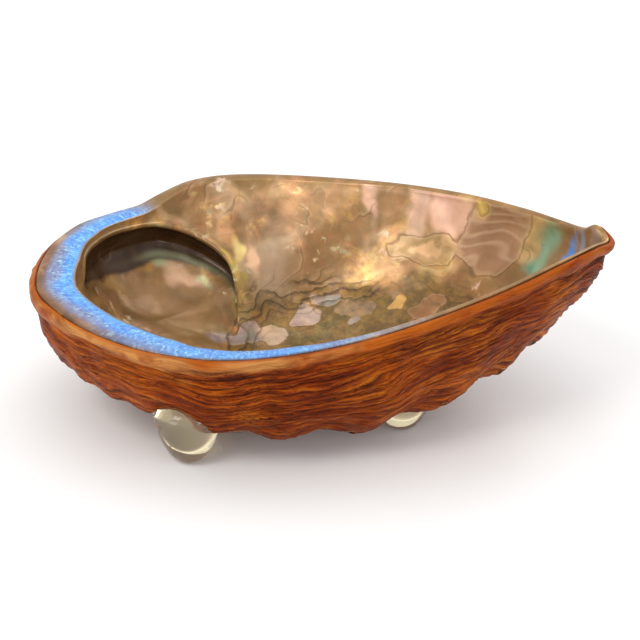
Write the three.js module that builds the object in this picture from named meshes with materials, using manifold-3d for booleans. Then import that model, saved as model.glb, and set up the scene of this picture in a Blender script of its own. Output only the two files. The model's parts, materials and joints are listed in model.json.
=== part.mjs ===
// Abalone shell dish: one grown shell lying cavity up on three glued clear glass feet.
// Millimetres, +Z up, floor at z = 0. +X runs from the spire end to the pointed front end,
// -Y is the side of the outer lip with its row of breathing holes.
import * as THREE from 'three';
import { mergeVertices } from 'three/addons/utils/BufferGeometryUtils.js';
import Module from 'manifold-3d';

// ---------------------------------------------------------------- dimensions
// rim seen from above, counterclockwise from the front end: x, y, height
const rimPoints = [
  [91.4, -20, 63.2], [88.6, -14.4, 65.8], [85.8, -6.4, 61.8],
  [79.8, 4.2, 60.2], [69, 17, 59.6], [50.5, 32.3, 59.2],
  [26, 45, 58.6], [-7, 55.5, 57.6], [-33, 60, 56.5], [-49, 60.5, 54], [-59.5, 55.5, 51],
  [-67.5, 47.5, 49.2], [-76, 37.5, 50], [-86.5, 22.5, 51], [-93, 0, 51], [-93, -23, 49],
  [-85, -38.5, 47.5], [-69, -54, 45.5], [-47, -65, 44.3], [-24, -68.5, 44.5], [0, -65.5, 46.6],
  [19, -61, 49.6], [38, -54.5, 53.5], [57, -46.5, 58], [74.5, -36, 62], [86, -26.5, 63.4],
];
const bowlCentre = new THREE.Vector2(-4, -6);
const outerBottom = 5; // lowest point of the underside above the floor
const innerBottom = 9.2; // lowest point inside the bowl
const roundingAngle = 17; // degrees over which the deep part evens out the rim's corners

// by direction from the bowl's centre, in degrees: squareness of the wall's section
const outerSquareness = [
  [8, 1.9], [45, 2.05], [90, 2.1], [120, 2.4], [150, 2.9], [185, 2.6], [225, 2.5],
  [262, 2.95], [290, 3.2], [312, 2.8], [333, 2.1], [352, 1.85],
];
const innerSquareness = [
  [0, 1.9], [45, 1.95], [90, 2], [120, 2.15], [150, 2.5], [185, 2.5], [225, 2.45],
  [262, 2.9], [290, 3.05], [312, 2.65], [335, 2.1],
];
// width of the flat nacre band on top of the rim
const bandWidth = [
  [0, 2.2], [50, 3], [100, 3.6], [125, 5.5], [150, 7.8], [165, 10], [180, 12.4], [200, 13.2], [218, 13.4],
  [230, 12], [240, 8.8], [250, 7.2], [262, 6.2], [276, 4.6], [292, 3.4], [318, 2.4], [342, 2],
];
const bandDrop = 0.4; // the band's inner edge lies this much below its outer edge
const bandSlope = 0.06; // and this much more per millimetre of width

// pocket under the spire: its middle, and the shelf's free edge around it as
// x, y, height, overhang share, drop below the edge; the last four close the mouth
const pocketCentre = new THREE.Vector2(-56, 17);
const shelfEdge = [
  [-80, -15, 46, 0.1, 5], [-82.5, -6, 48.2, 0.45, 9], [-83, 4, 48.6, 0.9, 11], [-82, 15, 48.4, 1, 11],
  [-78, 25, 47.8, 1, 10.5], [-71.5, 34, 46.8, 1, 10], [-63, 41, 45, 1, 9.5], [-53, 43.5, 42.2, 1, 9.5],
  [-43, 41.5, 38.5, 1, 10], [-35.5, 36, 34, 1, 9], [-32, 29.5, 29, 0.75, 6], [-30, 22, 24.4, 0.4, 3],
  [-30, 14, 20.6, 0.14, 1.5], [-31, 7, 18, 0.03, 2], [-36, 0, 16, 0, 2], [-48, -10, 15, 0, 2],
  [-60, -16, 16, 0, 2], [-71, -18, 20, 0, 2],
];
const lipSection = [0, 0.45, 0.2, -0.9, -1.8, -2.5, -3.0, -3.0, -2.2]; // shift toward the pocket
const lipFall = [0, 0.05, 0.14, 0.24, 0.38, 0.54, 0.7, 0.86, 1]; // share of the drop
const floorStep = 3.2; // width of the same strip where there is no shelf
const shelfEase = 1.9; // how fast the wall behind the shelf flattens toward its edge
const pocketEase = 1.7; // how fast the pocket's floor flattens toward its middle
const edgeClearance = 0.8; // the shelf's edge stays this far inside the band
const edgeBlend = 3; // how softly the edge bends away from the band

// spire on the underside
const apex = new THREE.Vector2(-55, 27);
const spireRadius = 22; // distance of the suture from the apex where it leaves the rim
const sutureAngle = 124; // direction of that place, degrees
const spiralGrowth = 0.51; // growth of the spiral per radian
const spireRelief = 0.13; // swell of a whorl as a share of its distance from the apex
const spireReach = 1.9; // the swell has died out at this many spire radii
const spireFacing = new THREE.Vector3(-0.36, 0.27, -0.89);

// row of bumps along the shoulder: direction from the apex in degrees, half width, height
const bumps = [
  [186, 4, 1.6], [198, 4.4, 1.9], [210, 4.8, 2.2], [221, 5, 2.5], [231, 5, 2.8], [241, 5.2, 3.1],
  [250, 5.4, 3.4], [259, 5.6, 3.6], [269, 7, 4.4], [282, 8, 4.6], [296.5, 8.6, 4.6], [310, 8.6, 4],
  [324.5, 8.4, 5.6], [333.5, 6.4, 5.6], [339.5, 4.8, 4.2], [345.5, 5, 3.6],
];
const bumpPlace = 0.87; // share of the distance from the apex to the rim
const bumpLean = 0.75; // how much of the height goes down instead of outward
const bumpSteep = 0.75; // share of the half width on the side toward the spire
const bumpGentle = 1.2; // and on the side toward the front
const openHoles = [310, 324.5, 333.5, 339.5]; // directions of the bumps that are open
const holeSize = [2.9, 2.2]; // half length along the row, half width
const holeDepth = 34;

// glass feet: place on the floor, largest radius, height of that waist and of the rounded top
const feet = {
  foot_front: { x: -43, y: -50.5, radius: 11.3, waist: 17, height: 24 },
  foot_right: { x: 25.8, y: -29, radius: 9.5, waist: 11.5, height: 17 },
  foot_back: { x: -16, y: 37, radius: 11.3, waist: 16, height: 23 },
};
const footFlat = 2; // radius of the flat a foot stands on
const footPoint = 0.6; // how pointed the drop is: 0 an egg, 1 a bullet
const gap = 0.3; // glue line between a foot and the shell

// fineness
const columns = 96;
const rowsShelf = 7;
const rowsLip = 5;
const rowsPocket = 6;
const rowsOuter = 15;
const footSides = 24;
const footSteps = 7;
const topSteps = 4;
const holeSides = 12;
const pathSteps = 80;

// ---------------------------------------------------------------- helpers
const degrees = Math.PI / 180;
const fullTurn = 2 * Math.PI;
const mix = THREE.MathUtils.lerp;
const clamp = THREE.MathUtils.clamp;
const smooth = THREE.MathUtils.smoothstep;
const wrapAngle = (angle) => ((angle % fullTurn) + fullTurn) % fullTurn;

// values of a table of [degrees, value, ...] in a direction, eased between its rows
function byDirection(table, angle) {
  const at = wrapAngle(angle) / degrees;
  let next = table.findIndex((row) => row[0] > at);
  if (next < 0) next = 0;
  const low = table[(next + table.length - 1) % table.length];
  const high = table[next];
  const span = wrapAngle((high[0] - low[0]) * degrees) / degrees;
  const along = wrapAngle((at - low[0]) * degrees) / degrees / span;
  return mix(low[1], high[1], smooth(along, 0, 1));
}

// a closed curve as lists by whole degree around a centre: distance, then each further value
function around(points, centre) {
  const polar = points.map((p) => {
    const dx = p[0] - centre.x;
    const dy = p[1] - centre.y;
    return [wrapAngle(Math.atan2(dy, dx)) / degrees, Math.hypot(dx, dy), ...p.slice(2)];
  }).sort((a, b) => a[0] - b[0]);
  const lists = polar[0].slice(1).map(() => []);
  for (let degree = 0; degree < 360; degree++) {
    let next = polar.findIndex((row) => row[0] > degree);
    if (next < 0) next = 0;
    const low = polar[(next + polar.length - 1) % polar.length];
    const high = polar[next];
    const span = (high[0] - low[0] + 360) % 360;
    const along = ((degree - low[0] + 360) % 360) / span;
    lists.forEach((list, k) => list.push(mix(low[k + 1], high[k + 1], along)));
  }
  return lists;
}

function valueAt(list, angle) {
  const at = wrapAngle(angle) / degrees;
  const low = Math.floor(at);
  return mix(list[low % 360], list[(low + 1) % 360], at - low);
}

function evened(list, spread) {
  return list.map((_, degree) => {
    let sum = 0;
    let weights = 0;
    for (let k = -3 * spread; k <= 3 * spread; k++) {
      const weight = Math.exp(-k * k / (2 * spread * spread));
      sum += weight * list[(degree + k + 720) % 360];
      weights += weight;
    }
    return sum / weights;
  });
}

// a smooth closed curve through rows of numbers, as many rows as asked for
function curveThrough(rows, count) {
  const wrap = (k) => rows[(k + rows.length) % rows.length];
  return Array.from({ length: count }, (_, k) => {
    const at = k / count * rows.length;
    const low = Math.floor(at);
    const t = at - low;
    return rows[0].map((__, c) => {
      const [a, b, d, e] = [wrap(low - 1)[c], wrap(low)[c], wrap(low + 1)[c], wrap(low + 2)[c]];
      return 0.5 * (2 * b + (d - a) * t + (2 * a - 5 * b + 4 * d - e) * t * t
        + (3 * b - a - 3 * d + e) * t * t * t);
    });
  });
}

// evenly spaced points along a path of Vector3
function evenly(path, steps) {
  const length = [0];
  for (let k = 1; k < path.length; k++) length.push(length[k - 1] + path[k].distanceTo(path[k - 1]));
  const total = length[length.length - 1];
  const out = [];
  let low = 0;
  for (let step = 0; step <= steps; step++) {
    const want = total * step / steps;
    while (low < path.length - 2 && length[low + 1] < want) low++;
    const along = clamp((want - length[low]) / (length[low + 1] - length[low]), 0, 1);
    out.push(new THREE.Vector3().lerpVectors(path[low], path[low + 1], along));
  }
  return out;
}

// value on a smooth line through evenly spaced heights
function along(values, share) {
  const at = share * (values.length - 1);
  const low = Math.min(Math.floor(at), values.length - 2);
  return mix(values[low], values[low + 1], at - low);
}

// ---------------------------------------------------------------- rim and bowl sections
const rimCurve = new THREE.CatmullRomCurve3(
  rimPoints.map((p) => new THREE.Vector3(...p)), true, 'catmullrom', 0.5,
);
const rim = rimCurve.getSpacedPoints(columns).slice(0, columns);
const fineRim = rimCurve.getSpacedPoints(pathSteps * 8).slice(0, -1);

// the rim shifted inward by the width of the band
function bandEdge(points) {
  const count = points.length;
  const reach = Math.max(1, Math.round(count / 60));
  return points.map((point, k) => {
    const inward = new THREE.Vector2();
    for (let j = k - reach; j < k + reach; j++) {
      const a = points[(j + count) % count];
      const b = points[(j + 1 + count) % count];
      inward.add(new THREE.Vector2(a.y - b.y, b.x - a.x).normalize());
    }
    inward.normalize();
    const direction = Math.atan2(point.y - bowlCentre.y, point.x - bowlCentre.x);
    const width = byDirection(bandWidth, direction);
    return new THREE.Vector3(
      point.x + inward.x * width, point.y + inward.y * width, point.z - bandDrop - bandSlope * width,
    );
  });
}
const innerRim = bandEdge(rim);

function wall(points, squareness, bottom) {
  const [radius, height] = around(points.map((p) => [p.x, p.y, p.z]), bowlCentre);
  return {
    radius, height, squareness, bottom,
    deepRadius: evened(radius, roundingAngle), deepHeight: evened(height, roundingAngle),
  };
}
const outerWall = wall(fineRim, outerSquareness, outerBottom);
const innerWall = wall(bandEdge(fineRim), innerSquareness, innerBottom);

// share of the way from the bowl's centre to the wall's top edge
function shareOut(surface, x, y) {
  const dx = x - bowlCentre.x;
  const dy = y - bowlCentre.y;
  const angle = Math.atan2(dy, dx);
  const distance = Math.hypot(dx, dy);
  const edge = valueAt(surface.radius, angle);
  const corner = smooth(distance / edge, 0.15, 1);
  return { angle, corner, share: distance / mix(valueAt(surface.deepRadius, angle), edge, corner) };
}

function bowlHeight(surface, x, y, shareAtEdge = 1) {
  const { angle, corner, share } = shareOut(surface, x, y);
  const top = mix(valueAt(surface.deepHeight, angle), valueAt(surface.height, angle), corner);
  const power = byDirection(surface.squareness, angle);
  const inside = clamp(share / mix(1, shareAtEdge, corner), 0, 1);
  return top - (top - surface.bottom) * (1 - inside ** power) ** (1 / power);
}

// ---------------------------------------------------------------- inside of the shell
const mouth = around(curveThrough(shelfEdge, 360), pocketCentre);
const pocketFloor = bowlHeight(innerWall, pocketCentre.x, pocketCentre.y);

// from the band over the shelf's edge, under it and down to the middle of the pocket
function insideColumn(start) {
  const angle = Math.atan2(start.y - pocketCentre.y, start.x - pocketCentre.x);
  const reach = Math.hypot(start.x - pocketCentre.x, start.y - pocketCentre.y);
  const [distance, height, overhang, drop] = mouth.map((list) => valueAt(list, angle));
  const limit = reach - edgeClearance;
  const choice = clamp(0.5 + 0.5 * (limit - distance) / edgeBlend, 0, 1);
  const edge = mix(limit, distance, choice) - edgeBlend * choice * (1 - choice);
  const shelf = smooth(overhang, 0, 0.8);
  const atEdge = shareOut(innerWall, start.x, start.y).share;
  const place = (radius, shelfHeight) => {
    const x = pocketCentre.x + Math.cos(angle) * radius;
    const y = pocketCentre.y + Math.sin(angle) * radius;
    return new THREE.Vector3(x, y, mix(bowlHeight(innerWall, x, y, atEdge), shelfHeight, shelf));
  };
  const crest = place(edge, height).z;
  const shares = Array.from({ length: pathSteps + 1 }, (_, k) => k / pathSteps);
  const slope = shares.map((share) => {
    const along = 1 - Math.cos(share * Math.PI / 2);
    return place(mix(reach, edge, along), crest + (start.z - crest) * (1 - along) ** shelfEase);
  });
  const lip = shares.map((share) => {
    const shift = mix(floorStep * share, along(lipSection, share), overhang);
    return place(edge - shift, crest - drop * along(lipFall, share));
  });
  const foot = lip[lip.length - 1];
  const footRadius = Math.hypot(foot.x - pocketCentre.x, foot.y - pocketCentre.y);
  const floor = shares.map((share) => (
    place(footRadius * (1 - share), pocketFloor + (foot.z - pocketFloor) * (1 - share) ** pocketEase)
  ));
  slope[0].copy(start);
  lip[0].copy(slope[slope.length - 1]);
  floor[0].copy(foot);
  return [
    ...evenly(slope, rowsShelf), ...evenly(lip, rowsLip).slice(1), ...evenly(floor, rowsPocket).slice(1),
  ];
}

// ---------------------------------------------------------------- outside of the shell
// swell of the coiled spire and of the bumps, added to a point of the smooth underside
function swollen(point, reach) {
  const dx = point.x - apex.x;
  const dy = point.y - apex.y;
  const radius = Math.hypot(dx, dy);
  const angle = wrapAngle(Math.atan2(dy, dx));
  const out = point.clone();
  if (radius > 0.01) {
    const turns = (Math.log(radius / spireRadius) / spiralGrowth + sutureAngle * degrees - angle) / fullTurn;
    const whorl = Math.sqrt(Math.abs(Math.sin(Math.PI * turns)));
    const fade = 1 - smooth(radius, spireRadius * 0.9, spireRadius * spireReach);
    out.addScaledVector(spireFacing, radius * spireRelief * whorl * fade);
  }
  for (const [direction, halfWidth, height] of bumps) {
    const centre = direction * degrees;
    const sideways = radius * Math.sin(angle - centre) / halfWidth;
    const leaning = sideways / (sideways < 0 ? bumpSteep : bumpGentle);
    const outward = (radius - reach * bumpPlace) / halfWidth;
    if (Math.cos(angle - centre) < 0) continue;
    const swell = height * Math.exp(-leaning * leaning - outward * outward);
    out.x += dx / radius * swell * (1 - bumpLean);
    out.y += dy / radius * swell * (1 - bumpLean);
    out.z -= swell * bumpLean;
  }
  return out;
}

function outsideColumn(start) {
  const reach = Math.hypot(start.x - apex.x, start.y - apex.y);
  const atEdge = shareOut(outerWall, start.x, start.y).share;
  const path = [];
  for (let k = 0; k <= pathSteps; k++) {
    const along = 1 - Math.cos(k / pathSteps * Math.PI / 2);
    const x = mix(start.x, apex.x, along);
    const y = mix(start.y, apex.y, along);
    path.push(new THREE.Vector3(x, y, bowlHeight(outerWall, x, y, atEdge)));
  }
  path[0].copy(start);
  return evenly(path, rowsOuter).map((point, k) => (k ? swollen(point, reach) : point));
}

// ---------------------------------------------------------------- solids
// closed body from rings of points, with one point at either end
function ringBody(rings, first, last) {
  const count = rings[0].length;
  const positions = [first, ...rings.flat(), last].flatMap((p) => [p.x, p.y, p.z]);
  const at = (ring, k) => 1 + ring * count + (k % count);
  const end = positions.length / 3 - 1;
  const index = [];
  for (let k = 0; k < count; k++) {
    index.push(0, at(0, k), at(0, k + 1));
    for (let ring = 0; ring < rings.length - 1; ring++) {
      const corners = [at(ring, k), at(ring, k + 1), at(ring + 1, k + 1), at(ring + 1, k)];
      index.push(corners[0], corners[2], corners[1], corners[0], corners[3], corners[2]);
    }
    index.push(at(rings.length - 1, k), end, at(rings.length - 1, k + 1));
  }
  const geometry = new THREE.BufferGeometry();
  geometry.setAttribute('position', new THREE.Float32BufferAttribute(positions, 3));
  geometry.setIndex(index);
  return geometry;
}

const insideRows = innerRim.map(insideColumn);
const outsideRows = rim.map(outsideColumn);
const ringOf = (columnsOfRows, row) => columnsOfRows.map((column) => column[row]);
const innerRings = insideRows[0].map((_, row) => ringOf(insideRows, row)).slice(0, -1).reverse();
const outerRings = outsideRows[0].map((_, row) => ringOf(outsideRows, row)).slice(0, -1);
const innerPole = insideRows[0][insideRows[0].length - 1];
const outerPole = outsideRows[0][outsideRows[0].length - 1];
const shellBody = ringBody([...innerRings, ...outerRings], innerPole, outerPole);

// the same underside closed straight across the rim, to cut the feet to its shape
const coverPoint = new THREE.Vector3(bowlCentre.x, bowlCentre.y, rimPoints[0][2]);
const plugBody = ringBody(outerRings, coverPoint, outerPole);

const wasm = await Module();
wasm.setup();

function solid(geometry) {
  const bare = geometry.clone();
  bare.deleteAttribute('normal');
  bare.deleteAttribute('uv');
  const merged = mergeVertices(bare, 1e-4);
  return new wasm.Manifold(new wasm.Mesh({
    numProp: 3,
    vertProperties: new Float32Array(merged.attributes.position.array),
    triVerts: new Uint32Array(merged.index.array),
  }));
}

function geometryOf(body) {
  const mesh = body.getMesh();
  const geometry = new THREE.BufferGeometry();
  geometry.setAttribute('position', new THREE.BufferAttribute(new Float32Array(mesh.vertProperties), 3));
  geometry.setIndex(new THREE.BufferAttribute(new Uint32Array(mesh.triVerts), 1));
  geometry.computeVertexNormals();
  return geometry;
}

// oval breathing holes, each across the wall where its bump stands
let shellSolid = solid(shellBody);
for (const direction of openHoles) {
  const angle = direction * degrees;
  const column = outsideRows.reduce((best, rows) => {
    const off = (rows0) => Math.abs(Math.sin((Math.atan2(rows0.y - apex.y, rows0.x - apex.x) - angle) / 2));
    return off(rows[0]) < off(best[0]) ? rows : best;
  });
  const reach = Math.hypot(column[0].x - apex.x, column[0].y - apex.y) * bumpPlace;
  const x = apex.x + Math.cos(angle) * reach;
  const y = apex.y + Math.sin(angle) * reach;
  const cutter = new THREE.CylinderGeometry(1, 1, holeDepth, holeSides);
  cutter.scale(holeSize[1], 1, holeSize[0]);
  const flat = 1 - bumpLean;
  const axis = new THREE.Vector3(Math.cos(angle) * flat, Math.sin(angle) * flat, -bumpLean);
  const row = new THREE.Vector3(-Math.sin(angle), Math.cos(angle), 0);
  const side = new THREE.Vector3().crossVectors(axis.normalize(), row);
  cutter.applyMatrix4(new THREE.Matrix4().makeBasis(side, axis, row));
  cutter.translate(x, y, bowlHeight(outerWall, x, y));
  shellSolid = shellSolid.subtract(solid(cutter));
}

// ---------------------------------------------------------------- the group
const shell = new THREE.Mesh(
  geometryOf(shellSolid),
  new THREE.MeshStandardMaterial({ color: 0xb07a3c, roughness: 0.35, metalness: 0 }),
);
shell.name = 'shell';

const group = new THREE.Group();
group.add(shell);

const plug = solid(plugBody.clone().translate(0, 0, -gap));
for (const [name, foot] of Object.entries(feet)) {
  // a blunt drop from the flat up to the waist, and a quarter ellipse over the top
  const profile = [new THREE.Vector2(0, 0)];
  for (let k = 0; k <= footSteps; k++) {
    const turn = k / footSteps * Math.PI / 2;
    const lift = 1 - Math.cos(turn);
    const spread = mix(Math.sin(turn), Math.sqrt(lift), footPoint);
    profile.push(new THREE.Vector2(mix(footFlat, foot.radius, spread), foot.waist * lift));
  }
  for (let k = 1; k <= topSteps; k++) {
    const turn = k / topSteps * Math.PI / 2;
    const radius = k < topSteps ? foot.radius * Math.cos(turn) : 0;
    profile.push(new THREE.Vector2(radius, mix(foot.waist, foot.height, Math.sin(turn))));
  }
  const drop = new THREE.LatheGeometry(profile, footSides).rotateX(Math.PI / 2).translate(foot.x, foot.y, 0);
  const mesh = new THREE.Mesh(
    geometryOf(solid(drop).subtract(plug)),
    new THREE.MeshStandardMaterial({
      color: 0xd9dccb, roughness: 0.05, metalness: 0, transparent: true, opacity: 0.45,
    }),
  );
  mesh.name = name;
  group.add(mesh);
}

// origin under the middle of the whole object, on the floor
const bounds = new THREE.Box3().setFromObject(group);
const middle = bounds.getCenter(new THREE.Vector3());
for (const mesh of group.children) mesh.position.set(-middle.x, -middle.y, -bounds.min.z);

export default group;
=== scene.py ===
import json
import math

import bpy
import numpy as np
from mathutils import Matrix, Vector


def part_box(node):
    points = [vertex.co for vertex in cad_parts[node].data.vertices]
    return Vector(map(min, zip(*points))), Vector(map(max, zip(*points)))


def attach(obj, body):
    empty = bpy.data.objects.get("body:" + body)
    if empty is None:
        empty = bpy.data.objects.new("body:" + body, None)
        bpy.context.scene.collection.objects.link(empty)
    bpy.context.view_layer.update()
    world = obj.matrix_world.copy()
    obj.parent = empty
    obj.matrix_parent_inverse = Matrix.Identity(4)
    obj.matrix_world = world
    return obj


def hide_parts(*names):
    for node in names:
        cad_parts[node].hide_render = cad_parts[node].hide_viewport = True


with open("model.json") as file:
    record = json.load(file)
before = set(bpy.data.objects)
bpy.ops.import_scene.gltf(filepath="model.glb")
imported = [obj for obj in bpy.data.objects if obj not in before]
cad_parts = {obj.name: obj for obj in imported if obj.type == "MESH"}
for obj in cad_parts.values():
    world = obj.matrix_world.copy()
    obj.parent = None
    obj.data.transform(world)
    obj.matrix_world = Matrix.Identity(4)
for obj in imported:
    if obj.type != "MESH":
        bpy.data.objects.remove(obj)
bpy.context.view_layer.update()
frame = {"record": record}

mm = 0.001

# shape of the shell, in millimetres, as it was built
rimPoints = [
    (91.4, -20, 63.2), (88.6, -14.4, 65.8), (85.8, -6.4, 61.8), (79.8, 4.2, 60.2),
    (69, 17, 59.6), (50.5, 32.3, 59.2), (26, 45, 58.6), (-7, 55.5, 57.6),
    (-33, 60, 56.5), (-49, 60.5, 54), (-59.5, 55.5, 51),
    (-67.5, 47.5, 49.2), (-76, 37.5, 50), (-86.5, 22.5, 51), (-93, 0, 51), (-93, -23, 49),
    (-85, -38.5, 47.5), (-69, -54, 45.5), (-47, -65, 44.3), (-24, -68.5, 44.5), (0, -65.5, 46.6),
    (19, -61, 49.6), (38, -54.5, 53.5), (57, -46.5, 58), (74.5, -36, 62), (86, -26.5, 63.4),
]
bowlShape = {
    "centre": np.array((-4.0, -6.0)),
    "mouth": np.array((0, 0, 60)),
    "outerBottom": 5.0,
    "innerBottom": 9.2,
    "rounding": 17,
    "outerSquareness": [
        (8, 1.9), (45, 2.05), (90, 2.1), (120, 2.4), (150, 2.9), (185, 2.6), (225, 2.5),
        (262, 2.95), (290, 3.2), (312, 2.8), (333, 2.1), (352, 1.85),
    ],
    "innerSquareness": [
        (0, 1.9), (45, 1.95), (90, 2), (120, 2.15), (150, 2.5), (185, 2.5), (225, 2.45),
        (262, 2.9), (290, 3.05), (312, 2.65), (335, 2.1),
    ],
    "bandWidth": [
        (0, 2.2), (50, 3), (100, 3.6), (125, 5.5), (150, 7.8), (165, 10), (180, 12.4), (200, 13.2),
        (218, 13.4), (230, 12), (240, 8.8), (250, 7.2), (262, 6.2), (276, 4.6), (292, 3.4),
        (318, 2.4), (342, 2),
    ],
    "bandDrop": 0.4,
    "bandSlope": 0.06,
}
pocketShape = {
    "centre": np.array((-56.0, 17.0)),
    "edge": [  # x, y, height, overhang, drop under the edge
        (-80, -15, 46, 0.1, 5), (-82.5, -6, 48.2, 0.45, 9), (-83, 4, 48.6, 0.9, 11),
        (-82, 15, 48.4, 1, 11), (-78, 25, 47.8, 1, 10.5), (-71.5, 34, 46.8, 1, 10),
        (-63, 41, 45, 1, 9.5), (-53, 43.5, 42.2, 1, 9.5), (-43, 41.5, 38.5, 1, 10),
        (-35.5, 36, 34, 1, 9), (-32, 29.5, 29, 0.75, 6), (-30, 22, 24.4, 0.4, 3),
        (-30, 14, 20.6, 0.14, 1.5), (-31, 7, 18, 0.03, 2), (-36, 0, 16, 0, 2),
        (-48, -10, 15, 0, 2), (-60, -16, 16, 0, 2), (-71, -18, 20, 0, 2),
    ],
    "lipShift": [0, 0.45, 0.2, -0.9, -1.8, -2.5, -3.0, -3.0, -2.2],
    "lipFall": [0, 0.05, 0.14, 0.24, 0.38, 0.54, 0.7, 0.86, 1],
    "floorStep": 3.2,
    "shelfEase": 1.9,
    "pocketEase": 1.7,
    "clearance": 0.8,
    "edgeBlend": 3.0,
}
outsideShape = {
    "apex": np.array((-55.0, 27.0)),
    "spireRadius": 22.0,
    "sutureAngle": math.radians(124),
    "spiralGrowth": 0.51,
    "spireRelief": 0.13,
    "spireReach": 1.9,
    "spireFacing": np.array((-0.36, 0.27, -0.89)),
    "bumps": [  # direction from the apex, half width, height
        (186, 4, 1.6), (198, 4.4, 1.9), (210, 4.8, 2.2), (221, 5, 2.5), (231, 5, 2.8), (241, 5.2, 3.1),
        (250, 5.4, 3.4), (259, 5.6, 3.6), (269, 7, 4.4), (282, 8, 4.6), (296.5, 8.6, 4.6), (310, 8.6, 4),
        (324.5, 8.4, 5.6), (333.5, 6.4, 5.6), (339.5, 4.8, 4.2), (345.5, 5, 3.6),
    ],
    "bumpPlace": 0.87,
    "bumpLean": 0.75,
    "bumpSteep": 0.75,
    "bumpGentle": 1.2,
    "holes": [310, 324.5, 333.5, 339.5],
    "holeSize": (2.9, 2.2),
    "holeDepth": 34,
    "sharpAngle": 55,
    "layer": 1.8,  # from the outside to the hidden side of the nacre
}
# how many points each part of the surface gets
mesh = {
    "columns": 512, "shelf": 84, "lip": 22, "pocket": 38, "outside": 172, "backing": 14, "crowding": 0.5,
}


def smooth(x, low, high):
    t = np.clip((x - low) / (high - low), 0, 1)
    return t * t * (3 - 2 * t)


def mix(a, b, t):
    return a + (b - a) * t


# smooth random field over points, one lattice cell per unit
def cloud(points, seed=0):
    cell = np.floor(points).astype(np.int64)
    part = points - cell
    ease = part * part * (3 - 2 * part)
    total = 0
    for corner in range(8):
        step = np.array([(corner >> k) & 1 for k in range(3)])
        at = cell + step
        code = at[..., 0] * 374761393 + at[..., 1] * 668265263 + at[..., 2] * 2147483647
        code = (code + seed * 974711) & 0xFFFFFFFF
        code = ((code ^ (code >> 13)) * 1274126177) & 0xFFFFFFFF
        code = ((code ^ (code >> 16)) * 2246822519) & 0xFFFFFFFF
        value = ((code >> 8) & 0xFFFF) / 32767.5 - 1
        weight = np.prod(np.where(step, ease, 1 - ease), axis=-1)
        total = total + value * weight
    return total


def clouds(points, octaves, seed=0, gain=0.5):
    total = 0
    size = 1.0
    for level in range(octaves):
        total = total + size * cloud(points * 2 ** level, seed + 17 * level)
        size *= gain
    return total


def byDirection(table, angle):
    rows = np.array(table, float)
    at = np.degrees(angle) % 360
    low = (np.searchsorted(rows[:, 0], at, side="right") - 1) % len(rows)
    high = (low + 1) % len(rows)
    span = (rows[high, 0] - rows[low, 0]) % 360
    return mix(rows[low, 1], rows[high, 1], smooth(((at - rows[low, 0]) % 360) / span, 0, 1))


# a closed curve as lists by whole degree around a centre: distance, then each further value
def around(points, centre):
    angle = np.degrees(np.arctan2(points[:, 1] - centre[1], points[:, 0] - centre[0])) % 360
    order = np.argsort(angle)
    angle = angle[order]
    values = np.column_stack([np.hypot(*(points[:, :2] - centre).T), points[:, 2:]])[order]
    wide = np.concatenate([angle - 360, angle, angle + 360])
    return [np.interp(np.arange(360), wide, np.tile(values[:, k], 3)) for k in range(values.shape[1])]


def valueAt(values, angle):
    at = np.degrees(angle) % 360
    low = np.floor(at).astype(int)
    return mix(values[low % 360], values[(low + 1) % 360], at - low)


def evened(values, spread):
    reach = np.arange(-3 * spread, 3 * spread + 1)
    weight = np.exp(-reach ** 2 / (2 * spread ** 2))
    return sum(w * np.roll(values, -k) for k, w in zip(reach, weight)) / weight.sum()


def curveThrough(rows, count):
    rows = np.array(rows, float)
    at = np.arange(count) / count * len(rows)
    low = np.floor(at).astype(int)
    t = (at - low)[:, None]
    a, b, d, e = (rows[(low + k) % len(rows)] for k in (-1, 0, 1, 2))
    return 0.5 * (2 * b + (d - a) * t + (2 * a - 5 * b + 4 * d - e) * t ** 2
                  + (3 * b - a - 3 * d + e) * t ** 3)


# length walked along each path of an array of paths, point by point
def lengthAlong(paths):
    length = np.cumsum(np.linalg.norm(np.diff(paths, axis=1), axis=2), axis=1)
    return np.concatenate([np.zeros((len(paths), 1)), length], axis=1)


# the same number of evenly spaced points along each path
def evenly(paths, steps, crowding=0.0):
    length = lengthAlong(paths)
    share = np.linspace(0, 1, steps + 1)
    share = share * (1 - crowding * (1 - share))
    out = np.empty((len(paths), steps + 1, 3))
    for k, (path, along) in enumerate(zip(paths, length)):
        for c in range(3):
            out[k, :, c] = np.interp(share * along[-1], along, path[:, c])
    return out


def closedSpaced(rows, count):
    fine = curveThrough(rows, count * 8)
    loop = np.vstack([fine, fine[:1]])
    along = np.concatenate([[0], np.cumsum(np.linalg.norm(np.diff(loop, axis=0), axis=1))])
    want = np.arange(count) / count * along[-1]
    return np.stack([np.interp(want, along, loop[:, k]) for k in range(3)], 1)


def bandEdge(points):
    reach = max(1, round(len(points) / 60))
    step = np.roll(points, -1, 0)[:, :2] - points[:, :2]
    step /= np.linalg.norm(step, axis=1)[:, None]
    inward = np.column_stack([-step[:, 1], step[:, 0]])
    inward = sum(np.roll(inward, k, 0) for k in range(-reach + 1, reach + 1))
    inward /= np.linalg.norm(inward, axis=1)[:, None]
    offset = points[:, :2] - bowlShape["centre"]
    width = byDirection(bowlShape["bandWidth"], np.arctan2(offset[:, 1], offset[:, 0]))
    low = points[:, 2] - bowlShape["bandDrop"] - bowlShape["bandSlope"] * width
    return np.column_stack([points[:, :2] + inward * width[:, None], low])


def wall(points, squareness, bottom):
    radius, height = around(points, bowlShape["centre"])
    return {
        "radius": radius, "height": height, "squareness": squareness, "bottom": bottom,
        "deepRadius": evened(radius, bowlShape["rounding"]),
        "deepHeight": evened(height, bowlShape["rounding"]),
    }


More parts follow.
